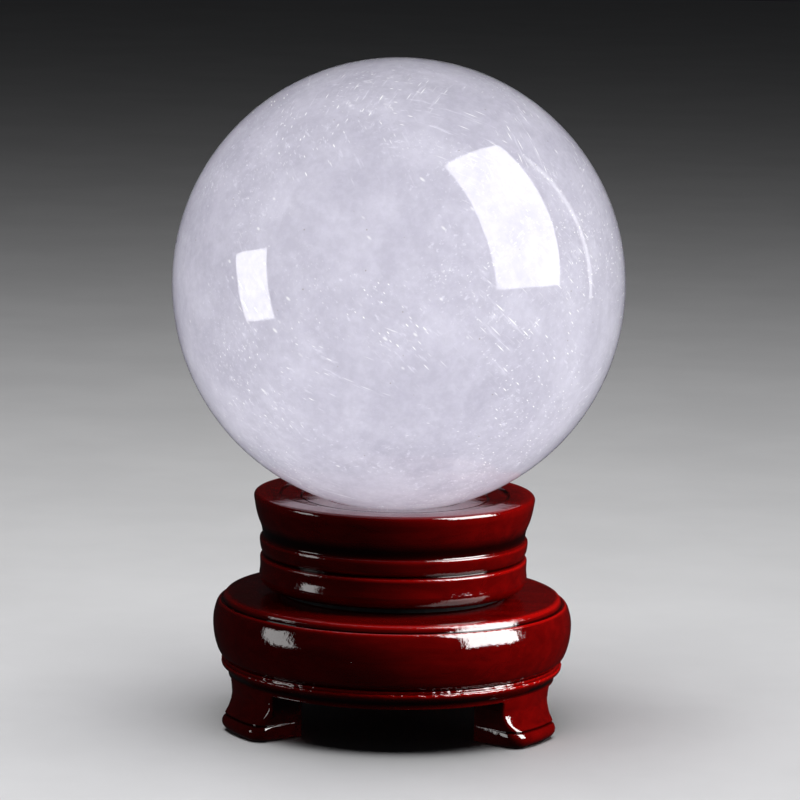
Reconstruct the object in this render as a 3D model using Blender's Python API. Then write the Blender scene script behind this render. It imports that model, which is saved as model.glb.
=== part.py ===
"""Crystal ball on a turned two-tier stand.

A quartz ball rests in a dished wooden collar.  The collar turns on a small ball
bearing that is screwed to a bullnosed base disc, and the base stands on three
feet under a moulded ring.

Heights are measured from the table, the axis of every turned piece is Z, and the
front of the object faces -Y.  Sizes are in millimetres and become metres when a
mesh is built.
"""

import math

import bmesh
import bpy
from mathutils import Matrix, Vector

MM = 0.001
GAP = 0.3                       # clearance left between pieces that touch

# Ball
BALL_RADIUS = 60.0
BALL_CENTRE = 117.8
BALL_SEGMENTS = 40

# Collar: the upper tier, which carries the ball
RIM_HEIGHT = 62.0
RIM_RADIUS = 37.5
RIM_INNER_RADIUS = 30.7
SEAT_EDGE_RADIUS = 18.5         # the ball rests on this edge of the dish
SEAT_EDGE_HEIGHT = 60.4
DISH_FLOOR = 55.5
BAND_RADIUS = 35.7
COLLAR_UNDERSIDE = 37.0

# Base disc: the lower tier
BASE_TOP = 35.0
BASE_UNDERSIDE = 17.7
BASE_RADIUS = 47.9
GROOVE_RADIUS = 45.4

# Foot ring and feet
LIP_RADIUS = 45.5
APRON_RADIUS = 43.6
APRON_UNDERSIDE = 12.5
FOOT_INNER_RADIUS = 31.8
FOOT_BACK_HALF_WIDTH = 7.9
# Sections of a foot from the top down: height, outer radius, half width, corner radius
FOOT_SECTIONS = (
    (APRON_UNDERSIDE - GAP, APRON_RADIUS, 11.7, 0.8),
    (9.4, 43.4, 11.6, 0.8),     # neck
    (7.4, 43.9, 11.4, 1.2),
    (5.6, 45.0, 10.9, 2.2),     # flare
    (4.6, 46.0, 10.4, 3.0),
    (4.0, 46.4, 10.4, 3.4),     # toe
    (2.6, 47.0, 10.6, 3.8),
    (1.1, 46.6, 10.2, 3.8),
    (0.0, 45.4, 9.0, 3.4),
)
FOOT_ANGLES = {"leg_front_right": -30.0, "leg_front_left": -150.0, "leg_back": 90.0}

# Dowels that join each foot, the ring and the base disc
DOWEL_RADIUS = 2.0
DOWEL_CIRCLE = 38.0
DOWEL_OFFSETS = (-6.0, 6.0)     # degrees from the middle of the foot
DOWEL_BOTTOM = 5.0
DOWEL_TOP = 21.0

# Turntable bearing between the two tiers
PLATE_RADIUS = 30.0
PLATE_THICKNESS = 2.0
LOWER_PLATE_BOTTOM = BASE_TOP + GAP
RACE_CIRCLE = 20.5
RACE_DEPTH = 0.8
BEARING_BALL_RADIUS = 2.0
BEARING_BALLS = 12
CAGE_HALF_WIDTH = 3.2
CAGE_THICKNESS = 0.8
POCKET_RADIUS = 2.5
EYELET_RADIUS = 3.9
EYELET_BORE = 3.0
EYELET_FLANGE = 6.5
FLANGE_THICKNESS = 0.8
FLANGE_POCKET_RADIUS = 7.5

# Screws of the two race plates, and the hole that the upper ones are driven through
SCREW_CIRCLE = 26.2
SCREW_COUNT = 4
SCREW_LENGTH = 10.0
SCREW_RADIUS = 1.1
SCREW_HEAD_RADIUS = 2.2
SCREW_HEAD_HEIGHT = 1.2
LOWER_SCREW_START = 0.0         # degrees
UPPER_SCREW_START = 45.0
ACCESS_HOLE_RADIUS = 4.5
ACCESS_HOLE_IN_PLATE = 2.7

# Facets around the axis
TURNED_SEGMENTS = 40
PLATE_SEGMENTS = 30
DRILL_SEGMENTS = 10
SCREW_SEGMENTS = 10

# Heights that follow from the sizes above
LOWER_PLATE_TOP = LOWER_PLATE_BOTTOM + PLATE_THICKNESS
BEARING_CENTRE = LOWER_PLATE_TOP - RACE_DEPTH + GAP + BEARING_BALL_RADIUS
UPPER_PLATE_BOTTOM = BEARING_CENTRE + BEARING_BALL_RADIUS + GAP - RACE_DEPTH
UPPER_PLATE_TOP = UPPER_PLATE_BOTTOM + PLATE_THICKNESS
RECESS_CEILING = UPPER_PLATE_TOP + GAP
RECESS_RADIUS = PLATE_RADIUS + 1.2
LOWER_FLANGE_TOP = LOWER_PLATE_BOTTOM - GAP
UPPER_FLANGE_BOTTOM = UPPER_PLATE_TOP + GAP


def clear_scene():
    for old in list(bpy.data.objects):
        bpy.data.objects.remove(old, do_unlink=True)


def make_material(name, colour, roughness, metallic=0.0, transmission=0.0):
    material = bpy.data.materials.new(name)
    material.use_nodes = True
    shader = material.node_tree.nodes["Principled BSDF"]
    shader.inputs["Base Color"].default_value = (*colour, 1.0)
    shader.inputs["Roughness"].default_value = roughness
    shader.inputs["Metallic"].default_value = metallic
    shader.inputs["Transmission Weight"].default_value = transmission
    material.diffuse_color = (*colour, 1.0)
    return material


def make_frame(name, height, parent=None):
    """Empty on the axis that a group of pieces turns or slides on."""
    frame = bpy.data.objects.new(name, None)
    frame["height"] = height
    frame.parent = parent
    frame.location.z = (height - (parent["height"] if parent else 0.0)) * MM
    bpy.context.collection.objects.link(frame)
    return frame


def place(name, mesh, material, frame, location=(0.0, 0.0, 0.0), turn=(0.0, 0.0, 0.0)):
    """Add a mesh at a world location in millimetres, parented to its frame."""
    piece = bpy.data.objects.new(name, mesh)
    if not mesh.materials:
        mesh.materials.append(material)
    piece.parent = frame
    x, y, z = location
    piece.location = Vector((x, y, z - frame["height"])) * MM
    piece.rotation_euler = turn
    bpy.context.collection.objects.link(piece)
    return piece


def finish_mesh(name, bm):
    """Close a bmesh, scale it to metres and shade it smooth between sharp edges."""
    bmesh.ops.remove_doubles(bm, verts=bm.verts, dist=0.001)
    bmesh.ops.recalc_face_normals(bm, faces=bm.faces)
    bmesh.ops.scale(bm, vec=(MM, MM, MM), verts=bm.verts)
    mesh = bpy.data.meshes.new(name)
    bm.to_mesh(mesh)
    bm.free()
    mesh.shade_smooth()
    mesh.set_sharp_from_angle(angle=math.radians(38.0))
    return mesh


def arc(centre_r, centre_z, radius, start, end, steps):
    """Points of an arc in the (r, z) plane, with angles in degrees from +r."""
    points = []
    for i in range(steps + 1):
        angle = math.radians(start + (end - start) * i / steps)
        points.append((centre_r + radius * math.cos(angle), centre_z + radius * math.sin(angle)))
    return points


def turned(name, outline, segments, closed=False):
    """Turn an outline of (r, z) points about Z.  An open outline ends on the axis."""
    bm = bmesh.new()
    verts = [bm.verts.new((r, 0.0, z)) for r, z in outline]
    edges = [bm.edges.new(pair) for pair in zip(verts, verts[1:])]
    if closed:
        edges.append(bm.edges.new((verts[-1], verts[0])))
    bmesh.ops.spin(bm, geom=verts + edges, cent=(0, 0, 0), axis=(0, 0, 1),
                   angle=math.tau, steps=segments)
    return finish_mesh(name, bm)


def on_circle(radius, angle, height=0.0):
    return (radius * math.cos(math.radians(angle)), radius * math.sin(math.radians(angle)), height)


def ring_angles(count, start=0.0):
    return [start + 360.0 * i / count for i in range(count)]


def drill(piece, frame, holes):
    """Cut round holes.  Each is (x, y, bottom, top, bottom radius, top radius)."""
    bm = bmesh.new()
    for x, y, bottom, top, bottom_radius, top_radius in holes:
        middle = Matrix.Translation((x, y, (bottom + top) / 2))
        bmesh.ops.create_cone(bm, cap_ends=True, segments=DRILL_SEGMENTS, radius1=bottom_radius,
                              radius2=top_radius, depth=top - bottom, matrix=middle)
    cutter = place(piece.name + "_drill", finish_mesh(piece.name + "_drill", bm),
                   piece.data.materials[0], frame)
    cutter.hide_render = True
    cutter.display_type = "WIRE"
    cut = piece.modifiers.new("holes", "BOOLEAN")
    cut.operation = "DIFFERENCE"
    cut.solver = "EXACT"
    cut.object = cutter


def straight_holes(circle, angles, bottom, top, radius):
    return [(*on_circle(circle, angle)[:2], bottom, top, radius, radius) for angle in angles]


def dowel_angles():
    return [foot + offset for foot in FOOT_ANGLES.values() for offset in DOWEL_OFFSETS]


def race_section(face, back, depth_sign):
    """Section of a race plate: a flat ring with a round groove pressed in one face."""
    groove_radius = BEARING_BALL_RADIUS + GAP
    centre = face + depth_sign * (groove_radius - RACE_DEPTH)
    reach = math.degrees(math.acos((groove_radius - RACE_DEPTH) / groove_radius))
    facing = -90.0 * depth_sign
    groove = arc(RACE_CIRCLE, centre, groove_radius, facing - reach, facing + reach, 4)
    groove.sort()
    bore = EYELET_RADIUS + GAP
    return [(bore, back), (bore, face), *groove, (PLATE_RADIUS, face), (PLATE_RADIUS, back)]


def build_ball(frame, quartz):
    bm = bmesh.new()
    bmesh.ops.create_uvsphere(bm, u_segments=BALL_SEGMENTS, v_segments=BALL_SEGMENTS // 2,
                              radius=BALL_RADIUS)
    place("crystal_ball", finish_mesh("crystal_ball", bm), quartz, frame, (0, 0, BALL_CENTRE))


def build_collar(frame, lacquer):
    dish_depth = SEAT_EDGE_HEIGHT - DISH_FLOOR
    dish_radius = (SEAT_EDGE_RADIUS ** 2 + dish_depth ** 2) / (2 * dish_depth)
    dish_reach = math.degrees(math.asin(SEAT_EDGE_RADIUS / dish_radius))
    pocket_ceiling = UPPER_FLANGE_BOTTOM + FLANGE_THICKNESS + 2 * GAP
    outline = [
        *arc(0.0, DISH_FLOOR + dish_radius, dish_radius, -90.0, -90.0 + dish_reach, 4),
        (RIM_INNER_RADIUS - 0.4, RIM_HEIGHT - 0.5),
        (RIM_INNER_RADIUS, RIM_HEIGHT),
        *arc(RIM_RADIUS - 1.1, RIM_HEIGHT - 1.1, 1.1, 90.0, 0.0, 3),
        (37.3, 57.6), (36.9, 55.4), (36.2, 54.0),                       # wall
        (35.4, 53.0), (34.9, 51.8), (35.0, 50.6),                       # cove
        (35.5, 50.1), (35.9, 48.9), (35.8, 47.2), (35.4, 46.1),         # bead
        (34.7, 45.5),                                                   # groove
        (35.4, 44.9), (BAND_RADIUS, 42.4), (35.4, 39.8), (34.6, 38.0),  # band
        (33.2, COLLAR_UNDERSIDE),
        (RECESS_RADIUS, COLLAR_UNDERSIDE),
        (RECESS_RADIUS, RECESS_CEILING),
        (FLANGE_POCKET_RADIUS, RECESS_CEILING),
        (FLANGE_POCKET_RADIUS, pocket_ceiling),
        (0.0, pocket_ceiling),
    ]
    collar = place("seat_collar", turned("seat_collar", outline, TURNED_SEGMENTS), lacquer, frame)
    angles = ring_angles(SCREW_COUNT, UPPER_SCREW_START)
    drill(collar, frame, straight_holes(SCREW_CIRCLE, angles, RECESS_CEILING - 1.0,
                                        UPPER_PLATE_BOTTOM + SCREW_LENGTH + GAP, SCREW_RADIUS + 0.4))


def build_base_disc(frame, lacquer):
    edge = 1.8
    pocket_floor = LOWER_FLANGE_TOP - FLANGE_THICKNESS - GAP
    outline = [
        (0.0, pocket_floor),
        (FLANGE_POCKET_RADIUS, pocket_floor),
        (FLANGE_POCKET_RADIUS, BASE_TOP),
        *arc(GROOVE_RADIUS - 0.3 - edge, BASE_TOP - edge, edge, 90.0, 10.0, 4),
        (GROOVE_RADIUS, BASE_TOP - 2.0),                                # groove
        (46.1, 33.1), (47.0, 31.8), (47.7, 29.6), (BASE_RADIUS, 27.2),  # bullnose
        (47.7, 24.4), (47.2, 21.8), (46.3, 19.4), (45.2, 18.1),
        (44.4, BASE_UNDERSIDE),
        (0.0, BASE_UNDERSIDE),
    ]
    disc = place("base_disc", turned("base_disc", outline, TURNED_SEGMENTS), lacquer, frame)
    screws = straight_holes(SCREW_CIRCLE, ring_angles(SCREW_COUNT, LOWER_SCREW_START),
                            LOWER_PLATE_TOP - SCREW_LENGTH - GAP, BASE_TOP + 1.0, SCREW_RADIUS + 0.4)
    access = straight_holes(SCREW_CIRCLE, [UPPER_SCREW_START], BASE_UNDERSIDE - 1.0, BASE_TOP + 1.0,
                            ACCESS_HOLE_RADIUS)
    dowels = straight_holes(DOWEL_CIRCLE, dowel_angles(), BASE_UNDERSIDE - 1.0, DOWEL_TOP + GAP,
                            DOWEL_RADIUS + 0.4)
    drill(disc, frame, screws + access + dowels)


def build_foot_ring(frame, lacquer):
    top = BASE_UNDERSIDE - GAP
    outline = [
        (FOOT_INNER_RADIUS, APRON_UNDERSIDE),
        (FOOT_INNER_RADIUS, top),
        (44.6, top), (LIP_RADIUS, 16.9), (LIP_RADIUS, 15.9),            # lip
        (44.9, 15.2), (44.1, 14.3), (APRON_RADIUS, 13.3),
        (APRON_RADIUS, APRON_UNDERSIDE),
    ]
    ring = place("foot_ring", turned("foot_ring", outline, TURNED_SEGMENTS, closed=True), lacquer, frame)
    drill(ring, frame, straight_holes(DOWEL_CIRCLE, dowel_angles(), APRON_UNDERSIDE - 1.0, top + 1.0,
                                      DOWEL_RADIUS + 0.4))


def foot_section(height, radius, half_width, corner):
    """Plan of a foot that points along +X: flat sides, a round front and rounded corners."""
    corner_x = math.sqrt((radius - corner) ** 2 - (half_width - corner) ** 2)
    corner_y = half_width - corner
    front = math.degrees(math.atan2(corner_y, corner_x))
    half = arc(corner_x, corner_y, corner, 90.0, front, 3)
    half.append((radius * math.cos(math.radians(front / 2)), radius * math.sin(math.radians(front / 2))))
    back = math.asin(FOOT_BACK_HALF_WIDTH / FOOT_INNER_RADIUS)
    half.insert(0, (FOOT_INNER_RADIUS * math.cos(back), FOOT_BACK_HALF_WIDTH))
    other = [(x, -y) for x, y in reversed(half)]
    outline = [*half, (radius, 0.0), *other, (FOOT_INNER_RADIUS, 0.0)]
    return [(x, y, height) for x, y in outline]


def foot_mesh(name):
    bm = bmesh.new()
    loops = []
    for section in FOOT_SECTIONS:
        verts = [bm.verts.new(point) for point in foot_section(*section)]
        loops.append([bm.edges.new((a, b)) for a, b in zip(verts, verts[1:] + verts[:1])])
    for upper, lower in zip(loops, loops[1:]):
        bmesh.ops.bridge_loops(bm, edges=upper + lower)
    bmesh.ops.holes_fill(bm, edges=bm.edges, sides=0)
    return finish_mesh(name, bm)


def build_feet(frame, lacquer):
    for name, angle in FOOT_ANGLES.items():
        foot = place(name, foot_mesh(name), lacquer, frame, turn=(0.0, 0.0, math.radians(angle)))
        angles = [angle + offset for offset in DOWEL_OFFSETS]
        drill(foot, frame, straight_holes(DOWEL_CIRCLE, angles, DOWEL_BOTTOM - GAP,
                                          APRON_UNDERSIDE + 1.0, DOWEL_RADIUS + 0.4))


def build_dowels(frame, beech):
    chamfer = 0.4
    outline = [
        (0.0, DOWEL_TOP),
        (DOWEL_RADIUS - chamfer, DOWEL_TOP), (DOWEL_RADIUS, DOWEL_TOP - chamfer),
        (DOWEL_RADIUS, DOWEL_BOTTOM + chamfer), (DOWEL_RADIUS - chamfer, DOWEL_BOTTOM),
        (0.0, DOWEL_BOTTOM),
    ]
    mesh = turned("leg_dowel", outline, SCREW_SEGMENTS)
    for number, angle in enumerate(dowel_angles(), start=1):
        place(f"leg_dowel_{number}", mesh, beech, frame, on_circle(DOWEL_CIRCLE, angle))


def build_race_plates(base, turntable, steel):
    lower = place("lower_race_plate",
                  turned("lower_race_plate", race_section(LOWER_PLATE_TOP, LOWER_PLATE_BOTTOM, 1.0),
                         PLATE_SEGMENTS, closed=True), steel, base)
    upper = place("upper_race_plate",
                  turned("upper_race_plate", race_section(UPPER_PLATE_BOTTOM, UPPER_PLATE_TOP, -1.0),
                         PLATE_SEGMENTS, closed=True), steel, turntable)
    wide = SCREW_HEAD_RADIUS + 0.5
    narrow = SCREW_RADIUS + 0.3
    low, high = LOWER_PLATE_BOTTOM - 0.5, LOWER_PLATE_TOP + 0.1
    holes = [(*on_circle(SCREW_CIRCLE, angle)[:2], low, high, narrow, wide)
             for angle in ring_angles(SCREW_COUNT, LOWER_SCREW_START)]
    holes += straight_holes(SCREW_CIRCLE, [UPPER_SCREW_START], low, high + 0.4, ACCESS_HOLE_IN_PLATE)
    drill(lower, base, holes)
    low, high = UPPER_PLATE_BOTTOM - 0.1, UPPER_PLATE_TOP + 0.5
    holes = [(*on_circle(SCREW_CIRCLE, angle)[:2], low, high, wide, narrow)
             for angle in ring_angles(SCREW_COUNT, UPPER_SCREW_START)]
    drill(upper, turntable, holes)


def build_screws(base, turntable, steel):
    socket = 0.9
    outline = [
        (0.0, -socket), (socket, 0.0),                                  # driver recess
        (SCREW_HEAD_RADIUS, 0.0), (SCREW_HEAD_RADIUS, -0.2),
        (SCREW_RADIUS, -SCREW_HEAD_HEIGHT),
        (SCREW_RADIUS, -SCREW_LENGTH + 2.0),
        (0.0, -SCREW_LENGTH),
    ]
    mesh = turned("race_screw", outline, SCREW_SEGMENTS)
    for number, angle in enumerate(ring_angles(SCREW_COUNT, LOWER_SCREW_START), start=1):
        place(f"lower_race_screw_{number}", mesh, steel, base,
              on_circle(SCREW_CIRCLE, angle, LOWER_PLATE_TOP))
    for number, angle in enumerate(ring_angles(SCREW_COUNT, UPPER_SCREW_START), start=1):
        place(f"upper_race_screw_{number}", mesh, steel, turntable,
              on_circle(SCREW_CIRCLE, angle, UPPER_PLATE_BOTTOM), (math.pi, 0.0, 0.0))


def build_eyelet(frame, brass):
    bottom = LOWER_FLANGE_TOP - FLANGE_THICKNESS
    top = UPPER_FLANGE_BOTTOM + FLANGE_THICKNESS
    outline = [
        (EYELET_BORE, bottom), (EYELET_BORE, top),
        (EYELET_FLANGE, top), (EYELET_FLANGE, UPPER_FLANGE_BOTTOM),
        (EYELET_RADIUS, UPPER_FLANGE_BOTTOM), (EYELET_RADIUS, LOWER_FLANGE_TOP),
        (EYELET_FLANGE, LOWER_FLANGE_TOP), (EYELET_FLANGE, bottom),
    ]
    place("pivot_eyelet", turned("pivot_eyelet", outline, PLATE_SEGMENTS // 2, closed=True), brass, frame)


def build_cage(frame, brass, steel):
    low, high = -CAGE_THICKNESS / 2, CAGE_THICKNESS / 2
    outline = [(RACE_CIRCLE - CAGE_HALF_WIDTH, low), (RACE_CIRCLE - CAGE_HALF_WIDTH, high),
               (RACE_CIRCLE + CAGE_HALF_WIDTH, high), (RACE_CIRCLE + CAGE_HALF_WIDTH, low)]
    angles = ring_angles(BEARING_BALLS)
    cage = place("ball_cage", turned("ball_cage", [(r, BEARING_CENTRE + z) for r, z in outline],
                                     PLATE_SEGMENTS, closed=True), brass, frame)
    drill(cage, frame, straight_holes(RACE_CIRCLE, angles, BEARING_CENTRE - 1.0, BEARING_CENTRE + 1.0,
                                      POCKET_RADIUS))
    bm = bmesh.new()
    bmesh.ops.create_uvsphere(bm, u_segments=SCREW_SEGMENTS, v_segments=6, radius=BEARING_BALL_RADIUS)
    mesh = finish_mesh("bearing_ball", bm)
    for number, angle in enumerate(angles, start=1):
        place(f"bearing_ball_{number:02d}", mesh, steel, frame,
              on_circle(RACE_CIRCLE, angle, BEARING_CENTRE))


def main():
    clear_scene()
    quartz = make_material("milky_quartz", (0.80, 0.77, 0.84), 0.05, transmission=0.3)
    lacquer = make_material("red_lacquered_wood", (0.26, 0.008, 0.008), 0.18)
    beech = make_material("beech_dowel", (0.62, 0.44, 0.26), 0.6)
    plate_steel = make_material("zinc_plate", (0.60, 0.61, 0.62), 0.35, metallic=1.0)
    ball_steel = make_material("bearing_steel", (0.75, 0.75, 0.76), 0.12, metallic=1.0)
    brass = make_material("pressed_brass", (0.78, 0.60, 0.28), 0.3, metallic=1.0)

    base = make_frame("base_frame", 0.0)
    turntable = make_frame("turntable_axis", COLLAR_UNDERSIDE, base)
    cage = make_frame("cage_axis", BEARING_CENTRE, base)
    lift = make_frame("ball_lift_axis", BALL_CENTRE, turntable)

    build_ball(lift, quartz)
    build_collar(turntable, lacquer)
    build_base_disc(base, lacquer)
    build_foot_ring(base, lacquer)
    build_feet(base, lacquer)
    build_dowels(base, beech)
    build_race_plates(base, turntable, plate_steel)
    build_screws(base, turntable, plate_steel)
    build_eyelet(base, brass)
    build_cage(cage, brass, ball_steel)


main()
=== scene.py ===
"""Looks of the crystal ball on its two-tier turning stand.

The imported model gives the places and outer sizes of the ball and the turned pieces.  This script
turns the lacquered pieces again at full smoothness, lofts the three feet, cuts a fine quartz
sphere, and gives each piece its procedural material.  Outlines are in millimetres.  Those of the
turned pieces are measured inwards and downwards from the widest radius and the top of the CAD node
that they follow, and those of the feet from the stand's axis and the floor.
"""
import math

import bmesh
import bpy
from mathutils import Matrix, Vector, noise


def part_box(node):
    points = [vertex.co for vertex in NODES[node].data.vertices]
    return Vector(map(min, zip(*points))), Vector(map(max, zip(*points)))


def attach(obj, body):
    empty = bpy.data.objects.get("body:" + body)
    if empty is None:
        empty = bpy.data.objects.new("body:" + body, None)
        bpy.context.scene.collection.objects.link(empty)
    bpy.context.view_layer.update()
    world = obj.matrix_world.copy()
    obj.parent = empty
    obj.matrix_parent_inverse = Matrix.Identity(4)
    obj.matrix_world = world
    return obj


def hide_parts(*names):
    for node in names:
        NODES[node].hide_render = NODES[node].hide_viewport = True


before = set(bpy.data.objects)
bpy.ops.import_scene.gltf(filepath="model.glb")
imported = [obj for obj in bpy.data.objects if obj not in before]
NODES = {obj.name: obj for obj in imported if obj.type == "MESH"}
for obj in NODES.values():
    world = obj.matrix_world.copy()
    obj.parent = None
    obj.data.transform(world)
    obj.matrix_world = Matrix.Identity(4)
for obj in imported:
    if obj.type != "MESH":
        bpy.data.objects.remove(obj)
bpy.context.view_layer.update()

MM = 0.001
TURNED_STEPS = 288
SHARP_ANGLE = 42.0              # degrees; a steeper edge is shaded sharp
FOOT_INNER_RADIUS = 31.8        # the back of the feet and the hole of the foot ring
FOOT_BACK_HALF_WIDTH = 7.9
APRON_RADIUS = 43.6             # the front of the feet, below the foot ring


# ---------------------------------------------------------------- outlines

def arc(centre, radius, start, end, steps):
    """Points on an arc in the (r, z) plane; angles in degrees from +r."""
    turn = [math.radians(start + (end - start) * i / steps) for i in range(steps + 1)]
    return [(centre[0] + radius * math.cos(a), centre[1] + radius * math.sin(a)) for a in turn]


def spline(points, steps=8):
    """A smooth curve through the points (Catmull-Rom)."""
    ends = [points[0], *points, points[-1]]
    curve = []
    for a, b, c, d in zip(ends, ends[1:], ends[2:], ends[3:]):
        for i in range(steps):
            t = i / steps
            curve.append(tuple(
                0.5 * (2 * q + (r - p) * t + (2 * p - 5 * q + 4 * r - s) * t * t
                       + (3 * q - p - 3 * r + s) * t ** 3)
                for p, q, r, s in zip(a, b, c, d)))
    return [*curve, points[-1]]


class Outline:
    """Radii and heights of a turned piece, given as insets and drops from its CAD node."""

    def __init__(self, node):
        low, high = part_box(node)
        self.radius, self.top, self.bottom = high.x / MM, high.z / MM, low.z / MM

    def at(self, inset, drop):
        return (self.radius - inset, self.top - drop)

    def through(self, *pairs, steps=8):
        return spline([self.at(*pair) for pair in pairs], steps)

    def edge(self, inset, drop, radius, start, end, steps=8):
        return arc(self.at(inset, drop), radius, start, end, steps)


# ---------------------------------------------------------------- meshes

def finish_piece(name, bm, body, material, replaced, sharp=SHARP_ANGLE):
    """Closed bmesh in millimetres to a smooth piece that stands for CAD nodes."""
    bmesh.ops.remove_doubles(bm, verts=bm.verts, dist=1e-4)
    bmesh.ops.recalc_face_normals(bm, faces=bm.faces)
    bmesh.ops.scale(bm, vec=(MM, MM, MM), verts=bm.verts)
    mesh = bpy.data.meshes.new(name)
    bm.to_mesh(mesh)
    bm.free()
    mesh.shade_smooth()
    mesh.set_sharp_from_angle(angle=math.radians(sharp))
    mesh.materials.append(material)
    piece = bpy.data.objects.new(name, mesh)
    bpy.context.collection.objects.link(piece)
    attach(piece, body)
    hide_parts(*replaced)
    return piece


def unit(x):
    return min(max(x, 0.0), 1.0)


def turned_mesh(outline, wells, ridges, steps=TURNED_STEPS, closed=False, ripple=0.0):
    """Turn an outline about Z, with the slight waviness of dipped lacquer and ripples on the ridges.

    The waves only go inwards, so that they keep the piece inside its CAD box; the ripples go both ways.
    The layer holds how deep the lacquer lies, with painted shade: 1 in a well, darkened by pooled lacquer
    and painted shade; -1 on a ridge, drawn a lighter red.
    """
    bm = bmesh.new()
    pool_and_shade = bm.verts.layers.float.new("pool_and_shade")
    verts = []
    for r, z in outline:
        vert = bm.verts.new((r, 0.0, z))
        vert[pool_and_shade] = nearness(r, z, wells) - nearness(r, z, ridges)
        verts.append(vert)
    edges = [bm.edges.new(pair) for pair in zip(verts, verts[1:])]
    if closed:
        edges.append(bm.edges.new((verts[-1], verts[0])))
    bmesh.ops.spin(bm, geom=verts + edges, cent=(0, 0, 0), axis=(0, 0, 1), angle=math.tau,
                   steps=steps)
    for vert in bm.verts:
        wave = noise.noise(vert.co * 0.13) * 0.05 + noise.noise(vert.co * 0.5) * 0.015 - 0.065
        runs = noise.noise(vert.co * 0.75) * ripple * unit(-2.0 * vert[pool_and_shade])
        vert.co.xy *= 1.0 + (wave + runs) / max(vert.co.xy.length, 20.0)
        vert.co.z += runs
    return bm


def nearness(r, z, rings):
    """1 on a ring (r, z, reach) and 0 from its reach outwards; the nearest ring counts."""
    return max((unit(1.0 - math.hypot(r - a, z - b) / reach) for a, b, reach in rings), default=0.0)


# ---------------------------------------------------------------- material tools

class Tree:
    """A material's node tree.  Inputs are given as numbers, colours or other nodes' outputs."""

    def __init__(self, name):
        self.material = bpy.data.materials.new(name)
        self.material.use_nodes = True
        self.tree = self.material.node_tree
        self.shader = self.tree.nodes["Principled BSDF"]
        self.coords = self.tree.nodes.new("ShaderNodeTexCoord").outputs["Object"]

    def node(self, kind, inputs=None, output=0, **settings):
        made = self.tree.nodes.new("ShaderNode" + kind)
        for key, value in settings.items():
            setattr(made, key, value)
        for key, value in (inputs or {}).items():
            self.set(made.inputs[key], value)
        return made.outputs[output]

    def set(self, socket, value):
        if isinstance(value, bpy.types.NodeSocket):
            self.tree.links.new(value, socket)
        else:
            socket.default_value = value

    def maths(self, operation, a, b=0.0):
        return self.node("Math", {0: a, 1: b}, operation=operation)

    def ramp(self, value, low, high, to_low=0.0, to_high=1.0, smooth=True):
        """Map value from low..high to to_low..to_high."""
        return self.node("MapRange", {"Value": value, "From Min": low, "From Max": high,
                                      "To Min": to_low, "To Max": to_high},
                         interpolation_type="SMOOTHSTEP" if smooth else "LINEAR")

    def placed(self, scale=(1, 1, 1), turn=(0, 0, 0), shift=(0, 0, 0)):
        turn = tuple(math.radians(a) for a in turn)
        return self.node("Mapping", {"Vector": self.coords, "Location": shift, "Rotation": turn,
                                     "Scale": scale})

    def noise(self, scale, detail=3.0, roughness=0.5, distortion=0.0, vector=None):
        return self.node("TexNoise", {"Vector": vector or self.coords, "Scale": scale, "Detail": detail,
                                      "Roughness": roughness, "Distortion": distortion})

    def mix(self, amount, a, b):
        made = self.tree.nodes.new("ShaderNodeMix")
        made.data_type = "RGBA"
        colours = [s for s in made.inputs if s.type == "RGBA"]
        self.set(made.inputs["Factor"], amount)
        for socket, value in zip(colours, (a, b)):
            self.set(socket, value if isinstance(value, bpy.types.NodeSocket) else (*value, 1.0))
        return next(s for s in made.outputs if s.type == "RGBA")

    def bump(self, height, strength, distance):
        return self.node("Bump", {"Height": height, "Strength": strength, "Distance": distance})

    def principled(self, **inputs):
        for key, value in inputs.items():
            self.set(self.shader.inputs[key.replace("_", " ")], value)


# ---------------------------------------------------------------- materials

def dots(tree, vector, reach, share):
    """A soft dot of the given reach in a share of the cells of size 1."""
    cells = tree.tree.nodes.new("ShaderNodeTexVoronoi")
    tree.set(cells.inputs["Vector"], vector)
    cells.inputs["Scale"].default_value = 1.0
    dot = tree.ramp(cells.outputs["Distance"], reach * 0.3, reach, 1.0, 0.0)
    chosen = tree.node("SeparateColor", {"Color": cells.outputs["Color"]})
    return tree.maths("MULTIPLY", dot, tree.ramp(chosen, 1.0 - share, 1.0 - share * 0.3))


def needles(tree, turn, radius, cell, thickness, length, share):
    """Straight inclusions that all lean one way, where they lie along the ball's surface.

    Their cell, thickness and length are in millimetres.
    """
    across = 1.0 / (cell * MM)
    leaning = tree.placed(turn=turn)
    stretched = tree.node("Mapping", {"Vector": leaning,
                                      "Scale": (across, across, across * thickness / length)})
    along = tree.maths("ABSOLUTE", tree.node("SeparateXYZ", {"Vector": leaning}, output="Z"))
    lying = tree.ramp(along, 0.55 * radius, 0.85 * radius, 1.0, 0.0)
    return tree.maths("MULTIPLY", dots(tree, stretched, thickness / cell, share), lying)


def largest(tree, values):
    """The greatest of several node outputs at each point."""
    found = values[0]
    for value in values[1:]:
        found = tree.maths("MAXIMUM", found, value)
    return found


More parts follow.
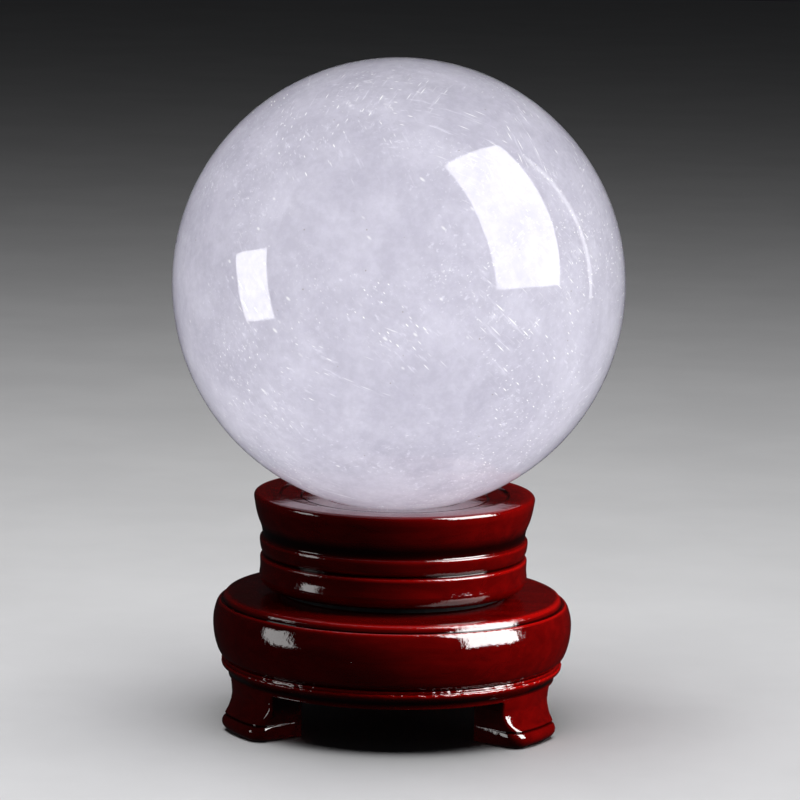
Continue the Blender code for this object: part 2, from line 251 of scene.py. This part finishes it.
def make_quartz(centre, radius):
    """Milky quartz: a lavender-white body with clouds, grain, and crowds of parallel needles."""
    t = Tree("milky_quartz")
    t.coords = t.node("VectorMath", {0: t.coords, 1: centre}, operation="SUBTRACT")
    broad = t.ramp(t.noise(18.0, 2.0, 0.5, 0.2, vector=t.placed(shift=(0.03, 0.0, 0.02))), 0.32, 0.68)
    puffs = t.ramp(t.noise(75.0, 5.0, 0.62, 0.2), 0.36, 0.68)
    grain = t.ramp(t.noise(420.0, 4.0, 0.7), 0.35, 0.7)
    cloud = t.maths("ADD", t.maths("MULTIPLY", broad, 0.35), t.maths("MULTIPLY", puffs, 0.38))
    cloud = t.maths("ADD", cloud, t.maths("MULTIPLY", grain, 0.27))
    body = t.mix(cloud, (0.465, 0.45, 0.54), (0.66, 0.645, 0.74))

    flecks, streaks = [], []
    for i, lean in enumerate([(90, 0, 20), (35, 25, 0), (-30, 40, 0), (65, -20, 30), (0, 70, 60)]):
        shift = (0.11 * i, 0.03 * i, 0.07 * i)
        crowd = t.noise(26.0, 3.0, 0.6, vector=t.placed(shift=shift))
        thread = t.noise(1.0, 3.0, 0.6, vector=t.node("Mapping", {
            "Vector": t.placed(turn=lean), "Scale": (800, 800, 60)}))
        showing = t.ramp(crowd, 0.50, 0.64, 0.03, 1.0)
        flecks.append(t.maths("MULTIPLY", needles(t, lean, radius, 0.95, 0.23, 2.6, 0.7), showing))
        streaks.append(t.maths("MULTIPLY", t.ramp(thread, 0.58, 0.74), t.ramp(crowd, 0.50, 0.62)))
    body = t.mix(t.maths("MULTIPLY", largest(t, streaks), 0.5), body, (0.86, 0.85, 0.93))
    flakes = t.maths("MULTIPLY", needles(t, (20, 50, 10), radius, 2.8, 0.5, 1.2, 0.3), 0.6)
    body = t.mix(largest(t, [*flecks, flakes]), body, (1.0, 1.0, 1.0))
    pinholes = dots(t, t.placed(scale=(310, 310, 310)), 0.095, 0.35)
    body = t.mix(t.maths("MULTIPLY", pinholes, 0.7), body, (0.30, 0.27, 0.26))

    t.principled(
        Base_Color=body, Subsurface_Weight=0.75, Subsurface_Radius=(1.0, 1.0, 1.0),
        Subsurface_Scale=0.012, IOR=1.54,
        Roughness=t.ramp(t.noise(90.0, 4.0), 0.3, 0.7, 0.02, 0.05),
        Normal=t.bump(t.maths("SUBTRACT", grain, t.maths("MULTIPLY", pinholes, 4.0)), 0.03, 0.0001))
    return t.material


def make_lacquer():
    """Thick red lacquer over stained wood: grain, pooled lacquer and painted shade below, a wavy clear
    coat on top.
    """
    t = Tree("red_lacquer")
    pool_and_shade = t.node("Attribute", attribute_name="pool_and_shade", output="Fac")
    fibre = t.noise(1.0, 6.0, 0.6, 0.6, vector=t.placed(scale=(45, 260, 330), turn=(4, 3, 9)))
    rings = t.noise(1.0, 3.0, 0.5, 0.8, vector=t.placed(scale=(18, 75, 95), turn=(4, 3, 9)))
    blotch = t.noise(120.0, 5.0, 0.65, 0.4)
    wood = t.mix(t.ramp(fibre, 0.3, 0.72), (0.044, 0.0002, 0.0002), (0.066, 0.0004, 0.0003))
    wood = t.mix(t.ramp(rings, 0.50, 0.74, 0.0, 0.4), wood, (0.022, 0.0001, 0.0001))
    wood = t.mix(t.ramp(blotch, 0.55, 0.75, 0.0, 0.3), wood, (0.018, 0.0001, 0.0001))
    # painted shade: the wells go near black, partly pooled lacquer and partly shade painted into the
    # colour
    wood = t.mix(t.ramp(pool_and_shade, 0.05, 0.9, 0.0, 0.95), wood, (0.002, 0.0, 0.0))
    # the ridges are drawn a lighter red, and the coat's ripples grow stronger on them
    on_ridge = t.ramp(pool_and_shade, -0.1, -0.9)
    wood = t.mix(t.maths("MULTIPLY", on_ridge, 0.8), wood, (0.17, 0.0012, 0.0008))

    peel = t.noise(850.0, 3.0, 0.55)
    sag = t.maths("MULTIPLY", t.noise(130.0, 2.0, 0.5, vector=t.placed(scale=(1, 1, 0.6))), 1.7)
    sag = t.maths("ADD", sag, dots(t, t.placed(scale=(230, 230, 230)), 0.10, 0.3))    # dust nibs
    peel = t.maths("MULTIPLY", peel, t.ramp(on_ridge, 0.4, 1.0, 0.4, 1.5, smooth=False))
    waves = t.maths("ADD", peel, sag)
    t.principled(
        Base_Color=wood, Roughness=t.ramp(blotch, 0.3, 0.7, 0.38, 0.55), Specular_IOR_Level=0.0,
        Normal=t.bump(fibre, 0.25, 0.00008),
        Coat_Weight=1.0, Coat_Roughness=0.035, Coat_IOR=1.52,
        Coat_Normal=t.bump(waves, 0.6, 0.00022))
    return t.material


def make_metal(name, colour, dark, roughness, scale, bump=0.0, metallic=1.0, shine=0.5):
    """Plated or bare metal with fine rubbed lines and tarnish."""
    t = Tree(name)
    rub = t.noise(1.0, 4.0, 0.6, vector=t.placed(scale=(scale, scale, scale * 0.2)))
    tarnish = t.ramp(t.noise(140.0, 5.0, 0.6), 0.45, 0.75, 0.0, 0.6)
    t.principled(Base_Color=t.mix(tarnish, colour, dark), Metallic=metallic, Specular_IOR_Level=shine,
                 Roughness=t.ramp(rub, 0.3, 0.7, roughness * 0.8, roughness * 1.3),
                 Normal=t.bump(rub, bump, 0.00005))
    return t.material


def make_beech():
    t = Tree("beech_dowel_wood")
    grain = t.noise(1.0, 5.0, 0.6, 0.3, vector=t.placed(scale=(1400, 1400, 90)))
    pores = t.ramp(t.noise(1.0, 2.0, vector=t.placed(scale=(3000, 3000, 250))), 0.62, 0.72)
    wood = t.mix(t.ramp(grain, 0.3, 0.7), (0.50, 0.31, 0.16), (0.68, 0.48, 0.28))
    t.principled(Base_Color=t.mix(pores, wood, (0.30, 0.16, 0.08)), Roughness=0.62,
                 Normal=t.bump(grain, 0.3, 0.0001))
    return t.material


def make_floor_paper():
    t = Tree("pale_floor_paper")
    mottle = t.noise(14.0, 4.0, 0.6)
    fibre = t.noise(900.0, 3.0, 0.6)
    t.principled(Base_Color=t.mix(t.ramp(mottle, 0.3, 0.7), (0.66, 0.66, 0.67), (0.70, 0.70, 0.71)),
                 Roughness=0.6, Normal=t.bump(fibre, 0.1, 0.0002))
    return t.material


# ---------------------------------------------------------------- the ball

def build_ball(material):
    low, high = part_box("crystal_ball")
    radius = (high.x - low.x) / 2 / MM
    bm = bmesh.new()
    bmesh.ops.create_icosphere(bm, subdivisions=6, radius=radius)
    for vert in bm.verts:       # very shallow polishing waves, never outside the CAD box
        wave = noise.noise(vert.co * 0.035) * 0.02 + noise.noise(vert.co * 0.11) * 0.004
        vert.co *= 1.0 + (wave - 0.025) / radius
    bmesh.ops.translate(bm, vec=(0, 0, (low.z + high.z) / 2 / MM), verts=bm.verts)
    return finish_piece("quartz_sphere", bm, "ball", material, ["crystal_ball"], sharp=180)


# ---------------------------------------------------------------- the stand

def build_collar(lacquer):
    o = Outline("seat_collar")
    dish_floor, seat_radius, seat_drop = 6.5, 18.5, 1.45
    rise = dish_floor - seat_drop
    dish = (seat_radius ** 2 + rise ** 2) / (2 * rise)
    reach = math.degrees(math.asin(seat_radius / dish))
    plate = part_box("upper_race_plate")
    ceiling = plate[1].z / MM + 0.15            # clearances round the bearing
    recess = plate[1].x / MM + 1.2
    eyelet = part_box("pivot_eyelet")
    pocket, pocket_top = eyelet[1].x / MM + 1.0, eyelet[1].z / MM + 0.6
    outline = [
        *arc((0.0, o.top - dish_floor + dish), dish, -90.0, -90.0 + reach, 20),
        *o.through((o.radius - 18.9, 1.30), (13.3, 1.06), (12.95, 1.1), (12.65, 1.38), (12.4, 1.38),
                   (12.1, 1.05), (11.8, 0.96), (8.2, 0.70), (7.35, 0.62)),               # ledge
        *o.through((7.05, 0.55), (6.85, 0.20), (6.60, 0.03), (6.1, 0.0), steps=4),       # step
        *o.edge(1.1, 1.1, 1.1, 90.0, 2.0, 12),
        *o.through((0.02, 1.4), (0.4, 3.6), (0.85, 5.6), (1.3, 7.0), (1.75, 8.1), (2.1, 9.1),
                   (2.35, 10.3), (2.45, 11.6)),                                          # cove
        *o.edge(2.25, 12.3, 0.5, 100.0, 8.0, 8),                                         # bead
        *o.through((1.72, 12.6), (1.76, 13.4), (1.95, 14.6), (2.2, 15.4), (2.5, 16.0), (2.9, 16.4)),
        *o.through((2.95, 16.5), (2.85, 16.62), (2.5, 16.7), (2.1, 16.95), (1.88, 17.4), (1.9, 18.2),
                   (1.95, 19.4), (1.93, 20.4), (1.81, 21.4), (1.76, 22.0), (1.95, 23.0), (2.5, 24.1),
                   (3.3, 24.8), (4.3, 25.0)),                                            # band
        (recess + 0.3, o.bottom), (recess, o.bottom + 0.3),
        (recess, ceiling),
        (pocket, ceiling), (pocket, pocket_top), (0.0, pocket_top),
    ]
    # wells: the cove, the ledge's step and groove, and the band's underside, darkened by pooled lacquer
    # and painted shade
    wells = [(*o.at(2.5, 10.1), 3.7), (*o.at(2.9, 16.4), 1.4), (*o.at(6.9, 0.7), 0.9),
             (*o.at(12.5, 1.4), 0.7), (*o.at(3.4, 25.4), 3.2)]
    ridges = [(*o.at(1.5, 1.3), 2.3), (*o.at(1.85, 12.3), 1.0), (*o.at(2.1, 17.0), 1.1)]
    bm = turned_mesh(outline, wells, ridges)
    return finish_piece("turned_collar", bm, "collar", lacquer, ["seat_collar"])


def build_base(lacquer):
    o = Outline("base_disc")
    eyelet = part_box("pivot_eyelet")
    pocket, pocket_floor = eyelet[1].x / MM + 1.0, eyelet[0].z / MM - 0.3
    outline = [
        (0.0, pocket_floor), (pocket, pocket_floor), (pocket, o.top),
        *o.edge(4.6, 1.8, 1.8, 90.0, 12.0, 14),
        *o.through((2.62, 1.9), (2.66, 2.1), (2.3, 2.15), steps=4),                       # groove
        *o.through((1.8, 2.05), (1.3, 2.5), (0.8, 3.4), (0.2, 5.6), (0.0, 7.8), (0.18, 10.6),
                   (0.7, 13.2), (1.6, 15.6), (2.7, 16.9), (3.5, 17.3)),                   # bullnose
        (0.0, o.bottom),
    ]
    # wells: the groove and the bullnose's underside, darkened by pooled lacquer and painted shade
    wells = [(*o.at(2.66, 2.1), 1.0), (*o.at(3.4, 17.3), 2.8)]
    ridges = [(*o.at(3.3, 0.5), 1.3), (*o.at(1.7, 2.1), 1.0)]
    bm = turned_mesh(outline, wells, ridges)
    disc = finish_piece("turned_base_disc", bm, "base", lacquer, ["base_disc"])
    low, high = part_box("base_disc")
    access_radius, access_circle, angle = 4.5, 26.2, math.radians(45)
    access = Vector((access_circle * math.cos(angle), access_circle * math.sin(angle), 0.0)) * MM
    cut_hole(disc, access, access_radius * MM, low.z, high.z)
    return disc


def cut_hole(piece, middle, radius, bottom, top):
    """Bore a round hole along Z right through a piece."""
    bm = bmesh.new()
    place = Matrix.Translation((middle.x, middle.y, (bottom + top) / 2))
    bmesh.ops.create_cone(bm, cap_ends=True, segments=64, radius1=radius, radius2=radius,
                          depth=(top - bottom) * 1.2, matrix=place)
    mesh = bpy.data.meshes.new("bore")
    bm.to_mesh(mesh)
    bm.free()
    cutter = bpy.data.objects.new("bore", mesh)
    bpy.context.collection.objects.link(cutter)
    modifier = piece.modifiers.new("bore", "BOOLEAN")
    modifier.object = cutter
    modifier.operation = "DIFFERENCE"
    bpy.context.view_layer.update()
    graph = bpy.context.evaluated_depsgraph_get()
    cut = bpy.data.meshes.new_from_object(piece.evaluated_get(graph), depsgraph=graph)
    piece.modifiers.clear()
    piece.data = cut
    cut.set_sharp_from_angle(angle=math.radians(SHARP_ANGLE))
    bpy.data.objects.remove(cutter)


def build_foot_ring(lacquer):
    o = Outline("foot_ring")
    inner = FOOT_INNER_RADIUS
    outline = [
        (inner, o.bottom + 0.4), (inner, o.top + 0.2),
        (o.radius - 1.1, o.top + 0.2),
        *o.edge(1.05, 0.2, 0.45, 90.0, 0.0, 8),
        *o.through((0.6, 0.5), (0.56, 0.62), (0.5, 0.7), steps=3),
        *o.edge(0.45, 1.1, 0.45, 85.0, -10.0, 8),
        *o.through((0.02, 1.6), (0.3, 2.0), (0.75, 2.35), (1.3, 3.0), (1.75, 3.7), (1.9, 4.4),
                   (1.9, 4.65)),
        *o.through((1.92, 4.7), (2.0, 4.85), (2.2, 4.9), steps=3),
        (inner + 0.4, o.bottom),
    ]
    # wells: the seam under the base disc and the apron's cove, darkened by pooled lacquer and painted
    # shade
    wells = [(*o.at(0.9, -0.3), 0.6), (*o.at(1.2, 3.3), 2.0)]
    ridges = [(*o.at(0.75, 0.0), 0.6), (*o.at(0.15, 0.95), 0.7)]
    bm = turned_mesh(outline, wells, ridges, steps=2 * TURNED_STEPS, closed=True, ripple=0.2)
    return finish_piece("moulded_foot_ring", bm, "base", lacquer, ["foot_ring"])


def foot_section(height, radius, half_width, corner, inner, back_half):
    """Plan of a foot that points along +X: flat sides, a round front and rounded corners."""
    offset = half_width - corner
    middle = Vector((math.sqrt((radius - corner) ** 2 - offset ** 2), offset))
    front = math.degrees(math.atan2(middle.y, middle.x))
    back = math.asin(back_half / inner)
    start = Vector((inner * math.cos(back), back_half))
    side = arc(tuple(middle), corner, 90.0, front, 12)
    half = [tuple(start.lerp(Vector(side[0]), i / 8)) for i in range(8)] + side
    half += [(radius * math.cos(a), radius * math.sin(a))
             for a in (math.radians(front * (1 - i / 10)) for i in range(1, 10))]
    other = [(x, -y) for x, y in reversed(half)]
    rear = [(inner * math.cos(back * s), -back_half * s) for s in (1 - i / 4 for i in range(1, 8))]
    return [(x, y, height) for x, y in [*half, (radius, 0.0), *other, *rear]]


def build_foot(node, lacquer, angle):
    """A foot lofted down through plans, each given as height, outer radius, half width, corner radius."""
    ring_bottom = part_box("foot_ring")[0].z / MM
    apron = APRON_RADIUS
    groove_height, groove_reach = 4.25, 0.55
    front_start, front_depth = 38.0, 5.0        # the groove's dark pooled lacquer and painted shade are only on the front
    rows = spline([
        (ring_bottom + 0.7, apron, 12.4, 0.8), (ring_bottom, apron, 12.2, 0.8),
        (11.9, apron - 0.02, 11.75, 0.8), (10.8, apron - 0.1, 11.65, 0.8),
        (9.2, apron - 0.2, 11.6, 0.9),
        (7.6, 43.8, 11.4, 1.2), (6.2, 44.5, 11.1, 1.9), (5.2, 45.4, 10.7, 2.6), (4.6, 46.0, 10.4, 3.0)], 6)
    rows += spline([(4.45, 46.05, 10.3, 3.1), (4.25, 45.6, 10.1, 3.1), (4.05, 45.75, 10.15, 3.2),
                    (3.8, 46.4, 10.4, 3.4), (2.8, 47.0, 10.6, 3.8), (1.6, 46.9, 10.4, 3.8),
                    (0.7, 46.3, 9.9, 3.7), (0.15, 45.6, 9.2, 3.5), (0.0, 45.3, 8.9, 3.4)], 6)
    bm = bmesh.new()
    pool_and_shade = bm.verts.layers.float.new("pool_and_shade")
    loops = []
    for height, radius, half_width, corner in rows:
        section = foot_section(height, radius, half_width, corner, FOOT_INNER_RADIUS,
                               FOOT_BACK_HALF_WIDTH)
        verts = [bm.verts.new(p) for p in section]
        for vert in verts:
            front = unit((vert.co.x - front_start) / front_depth)
            # painted shade and pooled lacquer darken the groove on the feet's front
            vert[pool_and_shade] = front * unit(1.0 - abs(height - groove_height) / groove_reach)
        loops.append(verts)
    for upper, lower in zip(loops, loops[1:]):
        for i, vert in enumerate(upper):
            after = (i + 1) % len(upper)
            bm.faces.new((vert, upper[after], lower[after], lower[i]))
    bm.faces.new(loops[0])
    bm.faces.new(loops[-1])
    turn = Matrix.Rotation(math.radians(angle), 3, "Z")
    bmesh.ops.rotate(bm, verts=bm.verts, cent=(0, 0, 0), matrix=turn)
    name = node.replace("leg", "lacquered_leg")
    return finish_piece(name, bm, "base", lacquer, [node])


# ---------------------------------------------------------------- small parts

def dress_small_parts():
    """The CAD nodes of the bearing and the joints keep their shape and get real finishes."""
    # black-passivated zinc, kept near black so that the bearing plates paint the shade in the gap between
    # the tiers
    gap_shade_zinc = make_metal("black_zinc_painted_gap_shade", (0.012, 0.012, 0.013), (0.005, 0.005, 0.006), 0.65,
                      2200.0, 0.2, metallic=0.0, shine=0.04)
    steel = make_metal("bearing_steel_polish", (0.62, 0.62, 0.64), (0.40, 0.40, 0.42), 0.12, 900.0)
    brass = make_metal("pressed_brass_sheet", (0.60, 0.43, 0.17), (0.30, 0.19, 0.07), 0.30, 1400.0, 0.15)
    beech = make_beech()
    finishes = {"leg_dowel": beech, "lower_race": gap_shade_zinc, "upper_race": gap_shade_zinc, "pivot_eyelet": brass,
                "ball_cage": brass, "bearing_ball": steel}
    for name, node in NODES.items():
        for start, material in finishes.items():
            if name.startswith(start):
                node.data.materials.clear()
                node.data.materials.append(material)


# ---------------------------------------------------------------- stage, lights, camera

def build_floor(material):
    size, below_feet = 6.0, 0.0002      # metres
    bm = bmesh.new()
    bmesh.ops.create_grid(bm, x_segments=8, y_segments=8, size=size / 2)
    mesh = bpy.data.meshes.new("studio_floor")
    bm.to_mesh(mesh)
    bm.free()
    mesh.materials.append(material)
    floor = bpy.data.objects.new("studio_floor", mesh)
    floor.location.z = -below_feet
    bpy.context.collection.objects.link(floor)
    floor.visible_glossy = False
    floor.visible_diffuse = False
    return floor


def softbox(name, place, target, size, power, receivers, roll=0.0, mirrored=True, diffuse=True,
            blockers=None):
    """Rectangular area light that lights only the receivers.

    Where blockers are given, only they shade it.  A lamp that isn't mirrored gives no highlight,
    and one that isn't diffuse gives no diffuse light.
    """
    light = bpy.data.lights.new(name, "AREA")
    light.shape = "RECTANGLE"
    light.size, light.size_y = size
    light.energy = power
    lamp = bpy.data.objects.new(name, light)
    facing = (Vector(target) - Vector(place)).to_track_quat("-Z", "Y").to_matrix().to_4x4()
    lamp.matrix_world = Matrix.Translation(place) @ facing @ Matrix.Rotation(math.radians(roll), 4, "Z")
    lamp.visible_camera = False
    lamp.visible_glossy = mirrored
    lamp.visible_diffuse = diffuse
    bpy.context.collection.objects.link(lamp)
    lamp.light_linking.receiver_collection = receivers
    lamp.light_linking.blocker_collection = blockers


def group(name, pieces):
    collection = bpy.data.collections.new(name)
    for piece in pieces:
        collection.objects.link(piece)
    return collection


def build_lights(centre, ball, floor):
    """A key softbox on the right and a small card on the left, with soft fill.

    The dark stand, the pale ball and the floor have lamps of their own.  The key on the stand is
    two lamps, one for its shading and one for its highlight.  The highlight lamp is 4 cm nearer
    than the ball's key, because it showed no highlight where another lamp had the same place.
    """
    def near(x, y, z):
        return (centre.x + x, centre.y + y, centre.z + z)

    shown = [o for o in bpy.context.scene.objects if o.type == "MESH" and o not in (ball, floor)]
    stand, sphere, stage = group("stand", shown), group("sphere", [ball]), group("stage", [floor])
    middle = near(0, 0, 0)
    key_roll, card_roll = -2.6, 11.7            # degrees
    # place, target and size; these put each lamp's reflection where the real ball shows it
    key = near(0.942, -0.249, 0.699), near(0.082, 0.233, 0.229), (0.885, 1.424)
    card = near(-1.014, -0.263, -0.017), near(-0.356, 0.256, -0.335), (0.394, 0.519)
    softbox("key_softbox", near(1.02, -0.10, 0.52), near(0, 0, -0.03), (0.8, 1.2), 50.0, stand,
            mirrored=False)
    softbox("key_highlight", near(0.911, -0.231, 0.682), *key[1:], 88.0, stand, roll=key_roll,
            diffuse=False)
    softbox("card_highlight", *card, 3.0, stand, roll=card_roll, diffuse=False)
    softbox("key_on_ball", *key, 26.0, sphere, roll=key_roll, diffuse=False)
    softbox("card_on_ball", *card, 4.8, sphere, roll=card_roll, diffuse=False)
    softbox("edge_strip", near(0.735, 0.285, 0.27), middle, (0.045, 0.75), 0.28, sphere, diffuse=False)
    softbox("floor_wash", near(0.0, -0.1, 0.75), near(0, -0.1, 0), (0.8, 0.8), 10.5, stage,
            mirrored=False)
    softbox("stand_fill", near(-0.9, -0.7, 0.15), near(0, 0, -0.1), (0.7, 0.7), 3.4, stand,
            mirrored=False)
    softbox("back_fill", near(-0.35, 0.95, 0.2), near(0, 0, -0.08), (0.7, 0.7), 6.0, stand,
            mirrored=False)
    softbox("through_ball", near(0.5, -0.1, 0.35), near(0, 0, -0.06), (0.3, 0.3), 3.5, stand,
            mirrored=False, blockers=stand)
    fills = {"front": (0.25, -0.95, 0.15, 5.2), "right": (0.8, -0.35, 0.1, 5.6),
             "left": (-0.8, -0.35, 0.1, 6.2), "low": (0.0, -0.6, -0.6, 3.0),
             "top": (0.0, 0.1, 0.9, 5.8), "back_right": (0.55, 0.75, -0.1, 5.2),
             "back_left": (-0.55, 0.75, -0.1, 7.0), "under": (0.0, 0.1, -0.9, 5.0)}
    for side, (x, y, z, power) in fills.items():
        softbox("ball_fill_" + side, near(x, y, z), middle, (0.7, 0.7), power, sphere,
                mirrored=False, blockers=sphere)


def build_world():
    """A very dim, slightly blue surround; the lamps do the lighting."""
    world = bpy.data.worlds.new("studio")
    world.use_nodes = True
    shade = world.node_tree.nodes["Background"]
    shade.inputs["Color"].default_value = (0.9, 0.93, 1.0, 1.0)
    shade.inputs["Strength"].default_value = 0.01
    bpy.context.scene.world = world
    bpy.context.scene.view_settings.view_transform = "Standard"


def build_camera(aim_height):
    """Camera in front of the ball and above its centre, looking down and slightly rolled."""
    distance, rise = 1.2, 0.155                 # metres
    pitch, yaw, roll, orbit = (math.radians(a) for a in (8.8046, 0.0436, 1.17, 1.5))
    level = math.cos(pitch)
    forward = Vector((math.sin(yaw) * level, math.cos(yaw) * level, -math.sin(pitch)))
    right = forward.cross(Vector((0, 0, 1))).normalized()
    up = right.cross(forward)
    across = right * math.cos(roll) + up * math.sin(roll)
    upright = up * math.cos(roll) - right * math.sin(roll)
    place = Matrix((across, upright, -forward)).transposed().to_4x4()
    place.translation = (0.0, -distance, aim_height + rise)
    data = bpy.data.cameras.new("camera")
    data.lens, data.sensor_width = 205.86, 36.0
    data.clip_start, data.clip_end = 0.05, 20.0
    camera = bpy.data.objects.new("camera", data)
    camera.matrix_world = Matrix.Rotation(orbit, 4, "Z") @ place
    bpy.context.collection.objects.link(camera)
    bpy.context.scene.camera = camera


# ---------------------------------------------------------------- build

ball_low, ball_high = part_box("crystal_ball")
ball_centre = (ball_low + ball_high) / 2
build_camera(ball_centre.z)
build_world()
floor = build_floor(make_floor_paper())

lacquer = make_lacquer()
ball = build_ball(make_quartz(ball_centre, ball_high.z - ball_centre.z))
build_collar(lacquer)
build_base(lacquer)
build_foot_ring(lacquer)
for leg, angle in (("leg_front_right", -30.0), ("leg_front_left", -150.0), ("leg_back", 90.0)):
    build_foot(leg, lacquer, angle)
dress_small_parts()
build_lights(ball_centre, ball, floor)
